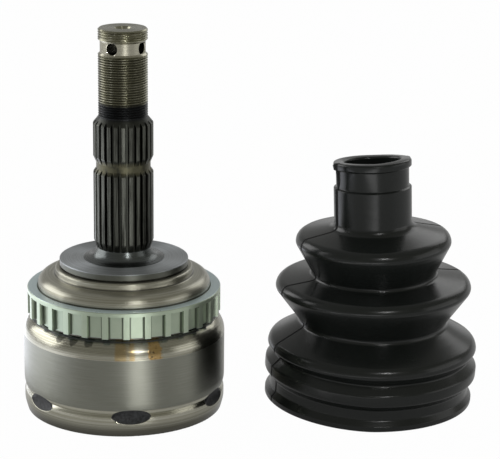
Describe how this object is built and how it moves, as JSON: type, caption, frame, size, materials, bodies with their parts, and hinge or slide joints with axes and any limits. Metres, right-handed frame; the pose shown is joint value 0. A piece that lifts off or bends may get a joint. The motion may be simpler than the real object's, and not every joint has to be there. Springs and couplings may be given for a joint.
{
  "type": "constant velocity joint",
  "caption": "Outer ball joint of a front drive shaft: splined stub axle, toothed sensor ring, caged balls in a bell, and a loose rubber boot.",
  "frame": {"origin": "the point that the joint bends about, on the axis of the stub axle", "axes": "+Z runs along the stub axle away from the bell, +X runs from the joint towards the loose boot, and the ground both stand on is below the origin in the plane of the bell's mouth"},
  "size_m": [0.1872, 0.0946, 0.158],
  "materials": {
    "bell_steel": "ground and turned steel",
    "stub_steel": "dark phosphated steel, bright at the thread end",
    "ring_zinc": "zinc plated sintered steel",
    "race_steel": "hardened and ground steel",
    "spring_steel": "dark spring steel",
    "cage_steel": "hardened steel",
    "ball_steel": "polished bearing steel",
    "boot_rubber": "moulded black rubber"
  },
  "bodies": {
    "housing": {"outer_race": "bell_steel", "stub_axle": "stub_steel", "abs_ring": "ring_zinc"},
    "drive_end": {"inner_race": "race_steel", "snap_ring": "spring_steel"},
    "cage": {"cage": "cage_steel"},
    "ball_1": {"ball_1": "ball_steel"},
    "ball_2": {"ball_2": "ball_steel"},
    "ball_3": {"ball_3": "ball_steel"},
    "ball_4": {"ball_4": "ball_steel"},
    "ball_5": {"ball_5": "ball_steel"},
    "ball_6": {"ball_6": "ball_steel"},
    "boot": {"boot": "boot_rubber"}
  },
  "joints": [
    {"name": "race_tilt", "type": "hinge", "parent": "housing", "child": "drive_end", "pos_m": [0, 0, 0], "axis": [0.9925, 0.1219, 0], "range_deg": [-45, 45]},
    {"name": "cage_tilt", "type": "hinge", "parent": "housing", "child": "cage", "pos_m": [0, 0, 0], "axis": [0.9925, 0.1219, 0], "range_deg": [-22.6, 22.6]},
    {"name": "ball_1_track", "type": "hinge", "parent": "housing", "child": "ball_1", "pos_m": [0, 0, -0.0028], "axis": [-0.9925, -0.1219, 0], "range_deg": [-22.6, 22.6]},
    {"name": "ball_2_track", "type": "hinge", "parent": "housing", "child": "ball_2", "pos_m": [0, 0, -0.0028], "axis": [-0.3907, -0.9205, 0], "range_deg": [-11.74, 11.74]},
    {"name": "ball_3_track", "type": "hinge", "parent": "housing", "child": "ball_3", "pos_m": [0, 0, -0.0028], "axis": [0.6018, -0.7986, 0], "range_deg": [-11.74, 11.74]},
    {"name": "ball_4_track", "type": "hinge", "parent": "housing", "child": "ball_4", "pos_m": [0, 0, -0.0028], "axis": [0.9925, 0.1219, 0], "range_deg": [-22.6, 22.6]},
    {"name": "ball_5_track", "type": "hinge", "parent": "housing", "child": "ball_5", "pos_m": [0, 0, -0.0028], "axis": [0.3907, 0.9205, 0], "range_deg": [-11.74, 11.74]},
    {"name": "ball_6_track", "type": "hinge", "parent": "housing", "child": "ball_6", "pos_m": [0, 0, -0.0028], "axis": [-0.6018, 0.7986, 0], "range_deg": [-11.74, 11.74]},
    {"name": "boot_lift", "type": "slide", "parent": "housing", "child": "boot", "axis": [0, 0, 1], "range_m": [0, 0.17]}
  ],
  "couplings": [
    {"joint": "cage_tilt", "follows": "race_tilt", "ratio": 0.5},
    {"joint": "ball_1_track", "follows": "race_tilt", "ratio": -0.5},
    {"joint": "ball_2_track", "follows": "race_tilt", "ratio": -0.2587},
    {"joint": "ball_3_track", "follows": "race_tilt", "ratio": 0.2587},
    {"joint": "ball_4_track", "follows": "race_tilt", "ratio": 0.5},
    {"joint": "ball_5_track", "follows": "race_tilt", "ratio": 0.2587},
    {"joint": "ball_6_track", "follows": "race_tilt", "ratio": -0.2587}
  ]
}
